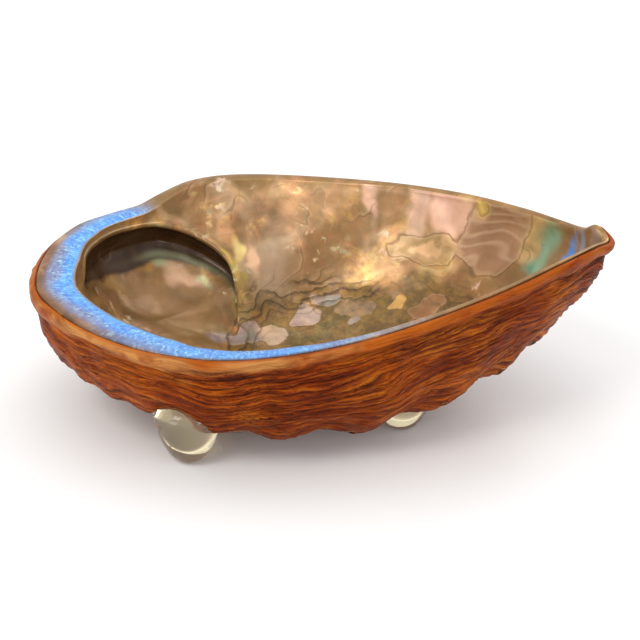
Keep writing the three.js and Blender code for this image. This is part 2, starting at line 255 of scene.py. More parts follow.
def shareOut(surface, x, y):
    dx, dy = x - bowlShape["centre"][0], y - bowlShape["centre"][1]
    angle = np.arctan2(dy, dx)
    distance = np.hypot(dx, dy)
    edge = valueAt(surface["radius"], angle)
    corner = smooth(distance / edge, 0.15, 1)
    return angle, corner, distance / mix(valueAt(surface["deepRadius"], angle), edge, corner)


def bowlHeight(surface, x, y, shareAtEdge=1.0):
    angle, corner, share = shareOut(surface, x, y)
    top = mix(valueAt(surface["deepHeight"], angle), valueAt(surface["height"], angle), corner)
    power = byDirection(surface["squareness"], angle)
    inside = np.clip(share / mix(1, shareAtEdge, corner), 0, 1)
    return top - (top - surface["bottom"]) * (1 - inside ** power) ** (1 / power)


rim = closedSpaced(rimPoints, mesh["columns"])
fineRim = closedSpaced(rimPoints, 640)
innerRim = bandEdge(rim)
outerWall = wall(fineRim, bowlShape["outerSquareness"], bowlShape["outerBottom"])
innerWall = wall(bandEdge(fineRim), bowlShape["innerSquareness"], bowlShape["innerBottom"])
print("rim ready")


def softened(values):
    for _ in range(60):
        values[1:-1] = (values[:-2] + 2 * values[1:-1] + values[2:]) / 4
    return values


# the inside, from the band over the shelf's edge, under it and down to the middle of the pocket
def insideGrid():
    centre = pocketShape["centre"]
    mouth = around(curveThrough(pocketShape["edge"], 360), centre)
    pocketFloor = bowlHeight(innerWall, *centre)
    offset = innerRim[:, :2] - centre
    angle = np.arctan2(offset[:, 1], offset[:, 0])
    reach = np.hypot(offset[:, 0], offset[:, 1])
    distance, height, overhang, drop = (valueAt(values, angle) for values in mouth)
    limit = reach - pocketShape["clearance"]
    choice = np.clip(0.5 + 0.5 * (limit - distance) / pocketShape["edgeBlend"], 0, 1)
    edge = mix(limit, distance, choice) - pocketShape["edgeBlend"] * choice * (1 - choice)
    shelf = smooth(overhang, 0, 0.8)[:, None]
    atEdge = shareOut(innerWall, innerRim[:, 0], innerRim[:, 1])[2][:, None]

    def place(radius, shelfHeight):
        x = centre[0] + np.cos(angle)[:, None] * radius
        y = centre[1] + np.sin(angle)[:, None] * radius
        return np.stack([x, y, mix(bowlHeight(innerWall, x, y, atEdge), shelfHeight, shelf)], -1)

    share = np.linspace(0, 1, 241)[None]
    crest = place(edge[:, None], height[:, None])[:, :, 2]
    along = 1 - np.cos(share * math.pi / 2)
    slope = place(mix(reach[:, None], edge[:, None], along),
                  crest + (innerRim[:, 2:] - crest) * (1 - along) ** pocketShape["shelfEase"])
    slope[:, 0] = innerRim
    knots = np.linspace(0, 1, len(pocketShape["lipShift"]))
    shift = softened(np.interp(share[0], knots, pocketShape["lipShift"]))[None]
    fall = softened(np.interp(share[0], knots, pocketShape["lipFall"]))[None]
    shift = mix(pocketShape["floorStep"] * share, shift, overhang[:, None])
    lip = place(edge[:, None] - shift, crest - drop[:, None] * fall)
    foot = lip[:, -1]
    footRadius = np.hypot(*(foot[:, :2] - centre).T)[:, None]
    floor = place(footRadius * (1 - share),
                  pocketFloor + (foot[:, 2:] - pocketFloor) * (1 - share) ** pocketShape["pocketEase"])
    lip[:, 0] = slope[:, -1]
    floor[:, 0] = foot
    whole = np.concatenate([
        evenly(slope, mesh["shelf"]), evenly(lip, mesh["lip"])[:, 1:], evenly(floor, mesh["pocket"])[:, 1:],
    ], axis=1)
    footRow = mesh["shelf"] + mesh["lip"]
    share = smooth(np.arange(whole.shape[1]), footRow - 2, footRow + 12)[None]
    height = whole[..., 2]
    for _ in range(400):
        height = mix(height, (np.roll(height, 1, 0) + np.roll(height, -1, 0)) / 2, 0.7 * share)
    whole[..., 2] = height
    return whole


# unit normals of a grid whose columns run round and whose rows run to a pole
def normalsOf(grid):
    across = np.roll(grid, -1, 0) - np.roll(grid, 1, 0)
    down = np.gradient(grid, axis=1)
    normal = np.cross(across, down)
    size = np.linalg.norm(normal, axis=2, keepdims=True)
    normal = normal / np.maximum(size, 1e-9)
    normal[:, -1] = normal[:, -2].mean(0)
    return normal / np.maximum(np.linalg.norm(normal, axis=2, keepdims=True), 1e-9)


# normals that point away from the mouth of the bowl
def outwardOf(grid):
    normal = normalsOf(grid)
    return normal * np.sign((normal * (grid - bowlShape["mouth"])).sum())


# thickness of the wall above points of the underside
def wallRoom(points, normal):
    room = bowlHeight(innerWall, points[..., 0], points[..., 1]) - points[..., 2]
    return room * np.abs(normal[..., 2])


def outsideBase(start, rows):
    apex = outsideShape["apex"]
    atEdge = shareOut(outerWall, start[:, 0], start[:, 1])[2][:, None]
    along = 1 - np.cos(np.linspace(0, 1, 361) * math.pi / 2)[None]
    x = mix(start[:, :1], apex[0], along)
    y = mix(start[:, 1:2], apex[1], along)
    path = np.stack([x, y, bowlHeight(outerWall, x, y, atEdge)], -1)
    path[:, 0] = start
    return evenly(path, rows, mesh["crowding"])


# the coiled spire and the row of bumps, as shifts of the smooth underside
def swell(grid):
    shape = outsideShape
    offset = grid[..., :2] - shape["apex"]
    radius = np.maximum(np.hypot(offset[..., 0], offset[..., 1]), 0.01)
    angle = np.arctan2(offset[..., 1], offset[..., 0]) % (2 * math.pi)
    turns = np.log(radius / shape["spireRadius"]) / shape["spiralGrowth"]
    turns = (turns + shape["sutureAngle"] - angle) / (2 * math.pi)
    whorl = np.sqrt(np.abs(np.sin(math.pi * turns)))
    fade = 1 - smooth(radius, shape["spireRadius"] * 0.9, shape["spireRadius"] * shape["spireReach"])
    shift = shape["spireFacing"] * (radius * shape["spireRelief"] * whorl * fade)[..., None]
    reach = radius[:, :1]
    rise = np.zeros(radius.shape)
    for direction, halfWidth, height in shape["bumps"]:
        turn = angle - math.radians(direction)
        sideways = radius * np.sin(turn) / halfWidth
        sideways = sideways / np.where(sideways < 0, shape["bumpSteep"], shape["bumpGentle"])
        outward = (radius - reach * shape["bumpPlace"]) / halfWidth
        rise += np.where(np.cos(turn) > 0, height * np.exp(-sideways ** 2 - outward ** 2), 0)
    lean = shape["bumpLean"]
    shift[..., :2] += offset / radius[..., None] * (rise * (1 - lean))[..., None]
    shift[..., 2] -= rise * lean
    return shift


# closed body from columns of points, with one point at either end; rows run first to last
def ringMesh(name, grid, first, last, attributes):
    columns, rows = grid.shape[:2]
    points = np.concatenate([[first], grid.reshape(-1, 3), [last]])
    at = 1 + np.arange(columns * rows).reshape(columns, rows)
    nextAt = np.roll(at, -1, 0)
    quads = np.stack([at[:, :-1], at[:, 1:], nextAt[:, 1:], nextAt[:, :-1]], -1).reshape(-1, 4)
    end = len(points) - 1
    caps = np.concatenate([
        np.stack([np.zeros(columns, int), at[:, 0], nextAt[:, 0]], 1),
        np.stack([at[:, -1], np.full(columns, end), nextAt[:, -1]], 1),
    ])
    data = bpy.data.meshes.new(name)
    data.from_pydata((points * mm + placeShift).tolist(), [], quads.tolist() + caps.tolist())
    for key, values in attributes.items():
        flat = np.concatenate([values[:1, 0], values.reshape(-1, values.shape[-1]), values[:1, -1]])
        if values.shape[-1] == 4:
            layer = data.color_attributes.new(key, "FLOAT_COLOR", "POINT")
            layer.data.foreach_set("color", flat.ravel())
        else:
            layer = data.attributes.new(key, "FLOAT_VECTOR", "POINT")
            layer.data.foreach_set("vector", flat.ravel())
    data.validate()
    data.update()
    data.polygons.foreach_set("use_smooth", [True] * len(data.polygons))
    body = bpy.data.objects.new(name, data)
    bpy.context.collection.objects.link(body)
    return body


shellLow, shellHigh = (np.array(corner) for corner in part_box("shell"))
placeShift = np.zeros(3)
rimMiddle = (rim.min(0) + rim.max(0)) / 2
placeShift[:2] = (shellLow + shellHigh)[:2] / 2 - rimMiddle[:2] * mm
placeShift[2] = shellHigh[2] - rim[:, 2].max() * mm


def linear(red, green, blue):
    srgb = np.array((red, green, blue)) / 255
    return np.where(srgb <= 0.04045, srgb / 12.92, ((srgb + 0.055) / 1.055) ** 2.4)


def paint(surface, colour, share):
    return mix(surface, linear(*colour), share[..., None])


# x and y of each column's start, with a value that runs along its rows
def fromStart(start, values):
    x, y = (np.broadcast_to(start[:, k:k + 1], values.shape) for k in (0, 1))
    return np.stack([x, y, values], -1)


# the brown layer: bead under the rim, stepped growth layers, lumps, bumps and coil
crust = {
    "groove": 0.7,  # the line where brown meets nacre lies this far down
    "bead": 2.0,
    "beadEnd": 5.8,
    "layerStep": 3.1,  # height of one growth layer
    "layerRun": 34.0,  # and how far it runs before it wanders
    "layerRise": 1.25,
    "threadStep": 1.35,
    "threadRun": 26.0,
    "threadRise": 0.3,
    "lumpSize": 18.0,
    "lumpRise": 1.1,
    "knobSize": 5.5,
    "knobRise": 0.45,
    "thinning": 0.3,  # share of the wall that a hollow in the brown layer may take
    "leastBacking": 0.3,
    "beadShare": [(20, 0.25), (120, 0.3), (165, 0.7), (200, 1), (350, 1)],
    "paleShare": [(150, 1), (215, 1), (250, 0.5), (285, 0.15), (340, 0)],
    "ochre": (182, 92, 12),
    "amber": (168, 86, 18),
    "pale": (196, 140, 80),
    "gold": (226, 148, 34),
    "rust": (142, 54, 4),
    "umber": (60, 20, 1),
    "chalk": (176, 136, 96),
}
rimLine = rim - np.array((0, 0, crust["groove"]))
rimDirection = np.arctan2(*(rim[:, :2] - bowlShape["centre"]).T[::-1]) % (2 * math.pi)
base = outsideBase(rim, mesh["outside"])
outward = outwardOf(base)
depth = lengthAlong(base)
growth = fromStart(rim, depth)


# growth layers: each grows thicker downwards and ends in a sharp edge, and their lines wander along the rim
def tiersOf(step, run, seed):
    at = growth / np.array((run, run, run * 0.42))
    wander = 1.5 * cloud(at, seed) + 0.75 * cloud(at * 2.3, seed + 1) + 0.3 * cloud(at * 5.2, seed + 2)
    tier = depth / step + wander
    part = tier - np.floor(tier)
    return tier, part ** 0.75 * (1 - smooth(part, 0.84, 1.0))


tier, layers = tiersOf(crust["layerStep"], crust["layerRun"], 3)
threads = tiersOf(crust["threadStep"], crust["threadRun"], 7)[1]
layerShare = 0.62 + 0.38 * cloud(fromStart(rim / 17, np.floor(tier) * 7.3), 9)
growth[..., 2] = tier * crust["layerStep"]
nearSide = byDirection(crust["beadShare"], rimDirection)[:, None]
leftSide = byDirection(crust["paleShare"], rimDirection)[:, None]
layered = 0.25 * smooth(depth, 0.8, 2.5) + 0.75 * smooth(depth + 1.5 * cloud(base / 7, 49), 2.6, 6.5)
beadEnd = crust["beadEnd"] * (1 + 0.34 * cloud(base / 22, 43) + 0.22 * cloud(base / 8, 44))
bead = nearSide * smooth(depth, -0.3, 1.8) * (1 - smooth(depth, beadEnd * 0.5, beadEnd))


def outsideSurface():
    layerRelief = crust["layerRise"] * layerShare * (layers - 0.5) + crust["threadRise"] * (threads - 0.5)
    rise = layerRelief * layered
    rise += crust["lumpRise"] * cloud(base / crust["lumpSize"], 21) * smooth(depth, 4, 14)
    rise += crust["knobRise"] * cloud(base / crust["knobSize"], 23) * layered
    rise += crust["bead"] * bead * (1 + 0.3 * cloud(base / 12, 41))
    rise += 0.3 * bead * clouds(base / 3.5, 2, 45)
    rise = np.maximum(rise, -crust["thinning"] * np.maximum(wallRoom(base, outward), 0))
    surface = base + swell(base) + outward * rise[..., None]
    surface[:, 0] = rimLine
    surface[..., 2] += crust["bead"] * 0.3 * bead
    surface[:, -1] = surface[:, -1].mean(0)
    return surface


def outsideColours():
    colour = np.broadcast_to(linear(*crust["ochre"]), depth.shape + (3,))
    colour = paint(colour, crust["rust"], 0.75 * smooth(clouds(base / 22, 2, 51), -0.5, 0.6))
    onLayers = smooth(layers, 0.35, 0.8) * layered
    colour = paint(colour, crust["gold"], 0.45 * smooth(cloud(base / 11, 53), 0.0, 0.6) * onLayers)
    onBead = smooth(bead / nearSide, 0.1, 1) * nearSide
    colour = paint(colour, crust["amber"], 0.8 * onBead)
    paleBead = onBead * smooth(cloud(base / 9, 46) + 1.1 * leftSide, 0.1, 1.0)
    colour = paint(colour, crust["pale"], 0.9 * paleBead)
    colour = paint(colour, crust["rust"], 0.75 * onBead * smooth(clouds(base / 6, 3, 47), 0.0, 0.8))
    # painted shade: umber darkening in the creases of the growth layers and threads
    creaseShade = np.maximum(1 - smooth(layers, 0.05, 0.5), 0.55 * (1 - smooth(threads, 0.05, 0.45)))
    colour = paint(colour, crust["umber"], 0.85 * creaseShade * (0.6 + 0.4 * layerShare) * layered)
    # painted shadow: a band of umber just under the bead
    beadShadow = nearSide * np.exp(-((depth - beadEnd * 1.05) / 1.1) ** 2)
    colour = paint(colour, crust["umber"], 0.45 * smooth(cloud(base / 14, 48), -0.6, 0.3) * beadShadow)
    worn = 0.5 * smooth(depth, 18, 60) * smooth(clouds(base / 9, 3, 61), 0.1, 0.8)
    return asColour(paint(colour, crust["chalk"], worn), layered)


def asColour(values, last=1.0):
    return np.concatenate([values, np.broadcast_to(last, values.shape[:-1])[..., None]], -1)


# the hidden side of both layers, inside the wall
def hiddenSide():
    back = outsideBase(rim, mesh["backing"])
    normal = outwardOf(back)
    room = np.clip(0.5 * wallRoom(back, normal), crust["leastBacking"], outsideShape["layer"])
    back = back + swell(back) * 0.8 - normal * room[..., None]
    return back[:, 1:-1], back[:, -1].mean(0)


def padded(values, rows):
    return np.concatenate([np.repeat(values[:, :1], rows, axis=1), values], axis=1)


backing, backPole = hiddenSide()
backRows = backing.shape[1]
outside = outsideSurface()
shellCrust = ringMesh(
    "shell_crust", np.concatenate([backing[:, ::-1], outside[:, :-1]], 1), backPole, outside[0, -1],
    {"tone": padded(outsideColours()[:, :-1], backRows), "growth": padded(growth[:, :-1], backRows)},
)
print("brown layer ready:", len(shellCrust.data.polygons), "faces")

# the nacre: inside of the bowl, shelf, pocket and the band on the rim
nacre = {
    "tan": (156, 122, 76),
    "pocket": (146, 110, 68),
    "olive": (146, 114, 50),
    "shade": (58, 34, 16),
    # pale stripe of painted reflection inside the painted shadow
    "stripe": (146, 150, 118),
    # painted reflection of cool window light on the band
    "blue": (108, 188, 255),
    "deepBlue": (92, 142, 240),
    "lilac": (146, 146, 176),
    "bandBrown": (128, 88, 56),
    "bandTan": (168, 132, 84),
    "bandEdge": (58, 36, 24),
    "swirl": 0.5,  # relief of the surface
    "ripple": 0.08,
    "terrace": 0.06,
    "bandBulge": 0.45,
    "bandRows": np.array([0, 0.1, 0.24, 0.38, 0.5, 0.61, 0.71, 0.8, 0.88, 0.95, 1.0]),
    # where the band carries the painted blue reflection, by direction round the rim
    "blueness": [(134, 0), (147, 1), (262, 1), (280, 0.6), (298, 0.2), (315, 0)],
    "outerGrey": [(148, 0.2), (168, 1), (205, 1), (225, 0.4), (240, 0.1), (300, 0)],
    "crestGold": [(5, 0), (22, 0.7), (35, 1), (60, 0.9), (85, 0.3), (120, 0.12), (170, 0)],
    # where the painted highlight on the shelf's edge lies, how far the painted shadow reaches, and where
    # the painted reflection stripe lies, by direction from the pocket's middle
    "darkReach": [(15, 1), (40, 2.5), (80, 6), (140, 9), (180, 6), (215, 1)],
    "stripeShare": [(20, 0), (50, 1), (100, 0.8), (140, 0.1), (200, 0)],
    # soft patches on the inside, the brightest gold, pink-white and mint ones being painted highlights: x,
    # y, half length, half width, turn, colour, strength
    "patches": [
        (-10, 51, 34, 7, -8, (164, 130, 80), 0.75), (-14, 43, 14, 4, -8, (118, 82, 38), 0.7),
        (-23, 47, 12, 4, -10, (126, 86, 40), 0.75), (-8, 46, 7, 4, 0, (150, 108, 50), 0.6),
        (-34, 53, 9, 4, -20, (222, 192, 160), 0.6), (-20, 35, 12, 9, -10, (176, 150, 122), 0.9),
        (-8, 34, 6, 8, 10, (150, 112, 62), 0.6), (17, 44, 2.4, 6, 0, (248, 202, 182), 0.95),
        (24, 38, 4, 8, 0, (196, 150, 104), 0.6), (34, 37, 4.4, 3.4, -20, (242, 200, 180), 0.95),
        (45, 31.5, 10, 3, -33, (238, 190, 166), 0.9), (53, 28.5, 9, 1.5, -34, (250, 218, 122), 0.9),
        (13, 29.5, 6.4, 2.6, -10, (248, 206, 128), 0.95), (22, 27, 7, 3, -10, (226, 176, 120), 0.8),
        (34, 29, 9, 2.2, -14, (226, 176, 140), 0.6), (72, 8, 6, 2.4, -38, (250, 218, 150), 0.85),
        (66, 14, 4, 2, -38, (240, 190, 130), 0.7), (73, 3, 5.4, 3.6, -40, (150, 190, 160), 1),
        (71, 3.5, 2.4, 1.8, 0, (104, 160, 134), 0.85), (80, -6.5, 2.6, 2.6, -20, (96, 166, 255), 1),
        (83.5, -11.5, 1.6, 3, -20, (150, 178, 226), 0.95),
        (87, -17, 2.6, 3, -20, (176, 156, 146), 0.95), (42, 10, 10, 5, -18, (150, 112, 70), 0.8),
        (47, 6, 5, 2.6, -20, (158, 152, 156), 0.8), (2, 22, 14, 3, 8, (156, 134, 70), 0.6),
        (-57, 47, 7, 2.4, -8, (226, 190, 150), 0.7), (-46, 46.5, 5, 2.4, -20, (130, 92, 46), 0.7),
        (-36, 44, 5, 3.4, -40, (236, 180, 130), 0.85), (-31, 39, 2.4, 5, 20, (255, 226, 148), 1),
        (-30, 30, 2.2, 7, 8, (204, 176, 96), 0.8), (-26, 36, 2, 4.4, 10, (246, 198, 160), 0.8),
        (-28, 22, 2, 3, 0, (240, 200, 150), 0.7), (-31, 19, 1.6, 1.8, 0, (240, 166, 90), 0.6),
        (-59, 40, 5, 2.6, -6, (176, 206, 158), 0.85), (-66, 36, 6, 3, 20, (206, 156, 74), 0.75),
        (-50, 37, 7, 4, -24, (236, 194, 164), 0.85), (-44, 36, 3.4, 2.4, -30, (190, 214, 168), 0.8),
        (-56, 24, 14, 6, -16, (172, 132, 90), 0.6), (-42, 26, 5, 8, 0, (140, 104, 44), 0.6),
        (-62, 8, 14, 6, -20, (122, 90, 52), 0.6), (-36, 14, 4.4, 4, 0, (172, 164, 178), 0.85),
        (-46, 8, 9, 4, 10, (150, 112, 52), 0.7),
    ],
    # thin plates with a dark edge line, in the same way
    "plates": [
        (36, 29, 13, 3.6, -24, (158, 126, 76), 0.8), (35, 29.5, 7, 1.6, -20, (220, 176, 128), 0.75),
        (58, 18, 13.5, 5.6, -36, (166, 126, 94), 0.85), (-26, 16, 3.4, 5.4, 10, (160, 148, 152), 0.95),
        (-18.5, 15.5, 5.4, 4.6, -16, (218, 190, 166), 0.95), (-6, 21, 7, 3.2, 6, (196, 176, 170), 0.95),
        (1, 26, 5.4, 1.9, -8, (154, 152, 150), 0.95), (12, 16, 2, 1.9, 0, (166, 158, 160), 0.9),
        (26, 18, 3.2, 2.3, 6, (252, 200, 124), 0.95), (37, 13.5, 7.6, 3.4, -14, (164, 120, 80), 0.9),
        (-30, 13, 3, 3, 10, (176, 166, 176), 0.85),
    ],
    # places where the sheen is calm: x, y, half length, half width, turn
    "calmSpots": [
        (-20, 35, 13, 9, -10), (58, 18, 14, 6, -36), (36, 29, 13, 4, -24), (-56, 22, 20, 16, 0),
        (76, -3, 12, 6, -44), (45, 31.5, 10, 3, -33),
    ],
    "wavyPlate": (58, 18, 13.5, 5.6, -36),
    "scar": {"centre": (11, 7), "long": 45, "wide": 23, "turn": -11},
    "tip": (84, -20),
}


# distance from a spot, where 1 is the edge of an oval of the given half length and half width
def spread(points, x, y, long, wide, turn):
    tilt = math.radians(turn)
    across, up = points[..., 0] - x, points[..., 1] - y
    along = across * math.cos(tilt) + up * math.sin(tilt)
    square = up * math.cos(tilt) - across * math.sin(tilt)
    return np.hypot(along / long, square / wide)


inside = insideGrid()
inward = normalsOf(inside)
if inward[..., 2].mean() < 0:
    inward = -inward
steps = lengthAlong(inside)
settle = smooth(steps, 0, 8) * smooth(steps[:, -1:] - steps, 0, 12)
fromTip = np.linalg.norm(inside[..., :2] - nacre["tip"], axis=2)
settle = settle * (0.25 + 0.75 * smooth(fromTip, 12, 34))
scarOval = nacre["scar"]
scarField = spread(inside, *scarOval["centre"], scarOval["long"], scarOval["wide"], scarOval["turn"])
scarField = scarField + 0.1 * clouds(inside / 14, 3, 71)
scar = 1 - smooth(scarField, 0.9, 1.04)


def pearlSurface():
    terrace = np.sin(scarField * 30 + 2 * cloud(inside / 11, 73))
    terrace *= smooth(scarField, 0.5, 0.8) * (1 - smooth(scarField, 1.0, 1.25))
    relief = nacre["swirl"] * clouds(inside / 14, 2, 81) + nacre["terrace"] * terrace
    relief += nacre["ripple"] * clouds(inside / 5, 2, 91)
    surface = inside + inward * (relief * settle)[..., None]
    surface[:, -1] = surface[:, -1].mean(0)
    return surface


rowIndex = np.arange(inside.shape[1])[None]
lipStart, lipEnd = mesh["shelf"], mesh["shelf"] + mesh["lip"]
pocketAngle = np.arctan2(*(inside[:, 0, :2] - pocketShape["centre"]).T[::-1])
mouthLists = around(curveThrough(pocketShape["edge"], 360), pocketShape["centre"])
overhang = valueAt(mouthLists[2], pocketAngle)[:, None]
inPocket = smooth(rowIndex, lipEnd - 4, lipEnd + 4) * smooth(overhang, 0.1, 0.9)
warped = inside[..., :2] + 2.2 * np.stack([clouds(inside / 8, 3, 101), clouds(inside / 8, 3, 111)], -1)
# painted shadow: how far the shade under the shelf's overhang reaches down into the pocket
darkReach = byDirection(nacre["darkReach"], pocketAngle)[:, None]
lowEdge = lipEnd + darkReach + 0.8 * cloud(inside / 5, 143)
lipShadow = smooth(rowIndex, lipStart + 1, lipStart + 4) * (1 - smooth(rowIndex, lowEdge - 1.2, lowEdge + 1.2))
lipShadow = lipShadow * smooth(overhang, 0.15, 0.9)


def bell(values, middle, width):
    return np.exp(-((values - middle) / width) ** 2)


# painted highlights of gold, pink and olive along the shelf's edge, a line of painted shade where the edge
# turns under, an olive tail, and the painted shadow under the overhang with a pale stripe of painted
# reflection in it
def paintEdge(tint):
    # painted shadow under the overhang
    tint = paint(tint, nacre["shade"], 0.97 * lipShadow)
    # painted highlight along the crest of the shelf's edge
    crestRow = bell(rowIndex, lipStart - 2.5 + 1.5 * cloud(inside / 4, 131), 2.2)
    glint = paint(linear(255, 214, 110), (246, 178, 140), smooth(cloud(inside / 3.2, 133), -0.3, 0.5))
    glint = paint(glint, (190, 200, 112), smooth(cloud(inside / 2.6, 137), 0.2, 0.6))
    gold = byDirection(nacre["crestGold"], pocketAngle)[:, None]
    share = 0.95 * gold * crestRow * smooth(cloud(inside / 5, 139), -0.9, 0.1)
    tint = mix(tint, glint, share[..., None])
    # painted shade: dark line where the edge turns under
    crestShadeLine = bell(rowIndex, lipStart + 0.5, 0.9) * smooth(overhang, 0.2, 0.8)
    tint = paint(tint, (92, 70, 26), 0.75 * crestShadeLine)
    tail = bell(pocketAngle, math.radians(14), 0.28)[:, None] * bell(rowIndex, lipStart - 3, 4)
    tint = paint(tint, (120, 124, 60), 0.6 * tail * smooth(cloud(inside / 2.4, 141), -0.2, 0.3))
    # painted reflection: pale stripe inside the painted shadow
    stripe = bell(rowIndex, lipEnd + 0.42 * darkReach + 1, 1.7) * smooth(overhang, 0.3, 1)
    stripe = stripe * byDirection(nacre["stripeShare"], pocketAngle)[:, None]
    return paint(tint, nacre["stripe"], 0.8 * stripe)


def paintInside():
    tint = np.broadcast_to(linear(*nacre["tan"]), inside.shape)
    tint = paint(tint, nacre["pocket"], 0.8 * inPocket)
    tint = paint(tint, nacre["olive"], 0.8 * scar)
    for *patch, colour, strength in nacre["patches"]:
        tint = paint(tint, colour, strength * (1 - smooth(spread(warped, *patch), 0.45, 1.3)))
    nearest = np.full(inside.shape[:2], 2.0)
    for *plate, colour, strength in nacre["plates"]:
        away = spread(warped, *plate)
        tint = paint(tint, colour, strength * (1 - smooth(away, 0.86, 1.04)))
        nearest = np.minimum(nearest, away)
    calm = 0.92 * lipShadow
    for spot in nacre["calmSpots"]:
        calm = np.maximum(calm, 0.75 * (1 - smooth(spread(warped, *spot), 0.6, 1.2)))
    return asColour(paintEdge(tint), 1 - calm), nearest


bandRows = nacre["bandRows"]
bandT = bandRows[None]
bandGrid = innerRim[:, None] + (rimLine - innerRim)[:, None] * bandRows[None, :, None]
bandGrid[..., 2] += nacre["bandBulge"] * np.sin(bandRows * math.pi) ** 0.7
bandGrid[..., 2] += crust["groove"] * bandRows * (bandRows < 1)
blueness = byDirection(nacre["blueness"], rimDirection)[:, None]
outerGrey = byDirection(nacre["outerGrey"], rimDirection)[:, None]


def paintBand():
    # painted reflection: the band's blue stands for cool window light reflected in it
    tint = np.broadcast_to(linear(*nacre["blue"]), bandGrid.shape)
    tint = paint(tint, nacre["deepBlue"], 0.3 + 0.3 * cloud(bandGrid / 7, 121))
    greyPart = smooth(bandT + 0.25 * cloud(bandGrid / 8, 127), 0.36, 0.6)
    tint = paint(tint, nacre["lilac"], 0.9 * outerGrey * greyPart)
    brownPart = smooth(bandT + 0.15 * cloud(bandGrid / 8, 129), 0.58, 0.86)
    tint = paint(tint, nacre["bandBrown"], outerGrey * brownPart)
    tint = mix(np.broadcast_to(linear(*nacre["bandTan"]), bandGrid.shape), tint, blueness[..., None])
    return asColour(paint(tint, nacre["bandEdge"], smooth(bandT, 0.93, 1.0) * nearSide))


# values of the inside, of the band and of the hidden side, from the pocket's middle out over the rim
def joined(inner, band, hidden):
    hidden = np.broadcast_to(np.array(hidden, float), (len(rim), backRows, len(hidden)))
    return np.concatenate([inner[:, :-1][:, ::-1], band[:, 1:], hidden], 1)


insideTint, plateField = paintInside()
bandMask = blueness * (1 - smooth(bandT, 0.9, 1)) * (1 - outerGrey * smooth(bandT, 0.5, 0.85))
nothing = np.zeros(inside.shape[:2])
nothingBand = np.zeros(bandGrid.shape[:2])
waveShare = 1 - smooth(spread(warped, *nacre["wavyPlate"]), 0.7, 1.05)
bandWay = -np.linalg.norm(bandGrid - innerRim[:, None], axis=2)
pearl = pearlSurface()
shellNacre = ringMesh(
    "shell_nacre", np.concatenate([pearl[:, :-1][:, ::-1], bandGrid[:, 1:], backing], 1),
    pearl[0, -1], backPole,
    {
        "tint": joined(insideTint, paintBand(), (0.3, 0.2, 0.1, 1.0)),
        "masks": joined(
            np.stack([nothing, scar * settle, inPocket], -1),
            np.stack([bandMask, nothingBand, nothingBand], -1), (0, 0, 0),
        ),
        "flow": joined(fromStart(innerRim, steps), fromStart(rim, bandWay), (0, 0, 0)),
        "field": joined(
            np.stack([scarField, plateField, waveShare], -1),
            np.stack([nothingBand + 2, nothingBand + 2, nothingBand], -1), (2, 2, 0),
        ),
    },
)
print("nacre ready:", len(shellNacre.data.polygons), "faces")


# oval breathing holes through both layers
def cutHoles(body):
    shape = outsideShape
    offset = rim[:, :2] - shape["apex"]
    for direction in shape["holes"]:
        angle = math.radians(direction)
        nearest = np.abs(np.sin((np.arctan2(offset[:, 1], offset[:, 0]) - angle) / 2)).argmin()
        reach = np.hypot(*offset[nearest]) * shape["bumpPlace"]
        x, y = shape["apex"] + np.array((math.cos(angle), math.sin(angle))) * reach
        z = float(bowlHeight(outerWall, np.array([x]), np.array([y]))[0])
        flat = 1 - shape["bumpLean"]
        axis = Vector((math.cos(angle) * flat, math.sin(angle) * flat, -shape["bumpLean"])).normalized()
        along = Vector((-math.sin(angle), math.cos(angle), 0))
        turn = Matrix((axis.cross(along), along, axis)).transposed().to_4x4()
        place = Matrix.Translation(Vector((x, y, z)) * mm + Vector(placeShift)) @ turn
        bpy.ops.mesh.primitive_cylinder_add(vertices=40, radius=mm, depth=shape["holeDepth"] * mm)
        cutter = bpy.context.object
        cutter.data.transform(Matrix.Diagonal((shape["holeSize"][1], shape["holeSize"][0], 1, 1)))
        cutter.data.transform(place)
        cut = body.modifiers.new("hole", "BOOLEAN")
        cut.operation = "DIFFERENCE"
        cut.solver = "MANIFOLD"
        cut.object = cutter
        bpy.context.view_layer.objects.active = body
        bpy.ops.object.modifier_apply(modifier=cut.name)
        bpy.data.objects.remove(cutter, do_unlink=True)
    body.data.set_sharp_from_angle(angle=math.radians(shape["sharpAngle"]))
    print(body.name, "has its breathing holes:", len(body.data.polygons), "faces")


for body in (shellCrust, shellNacre):
    cutHoles(body)


# node helpers
def newMaterial(name):
    material = bpy.data.materials.new(name)
    material.use_nodes = True
    tree = material.node_tree
    return material, tree, tree.nodes["Principled BSDF"]


def attribute(tree, name):
    node = tree.nodes.new("ShaderNodeAttribute")
    node.attribute_name = name
    return node


def split(tree, vector):
    node = tree.nodes.new("ShaderNodeSeparateXYZ")
    tree.links.new(vector, node.inputs["Vector"])
    return list(node.outputs)


def scaled(tree, vector, scale, shiftBy=(0, 0, 0)):
    node = tree.nodes.new("ShaderNodeMapping")
    node.inputs["Scale"].default_value = scale
    node.inputs["Location"].default_value = shiftBy
    tree.links.new(vector, node.inputs["Vector"])
    return node.outputs["Vector"]


def noise(tree, vector, scale=1.0, detail=3.0, rough=0.55, warp=0.0):
    node = tree.nodes.new("ShaderNodeTexNoise")
    node.inputs["Scale"].default_value = scale
    node.inputs["Detail"].default_value = detail
    node.inputs["Roughness"].default_value = rough
    node.inputs["Distortion"].default_value = warp
    tree.links.new(vector, node.inputs["Vector"])
    return node.outputs["Fac"]


def ramp(tree, value, stops, stepped=False):
    node = tree.nodes.new("ShaderNodeValToRGB")
    elements = node.color_ramp.elements
    while len(elements) < len(stops):
        elements.new(0.5)
    for element, (place, colour) in zip(elements, stops):
        element.position = place
        element.color = (*linear(*colour), 1)
    if stepped:
        node.color_ramp.interpolation = "CONSTANT"
    tree.links.new(value, node.inputs["Fac"])
    return node.outputs["Color"]


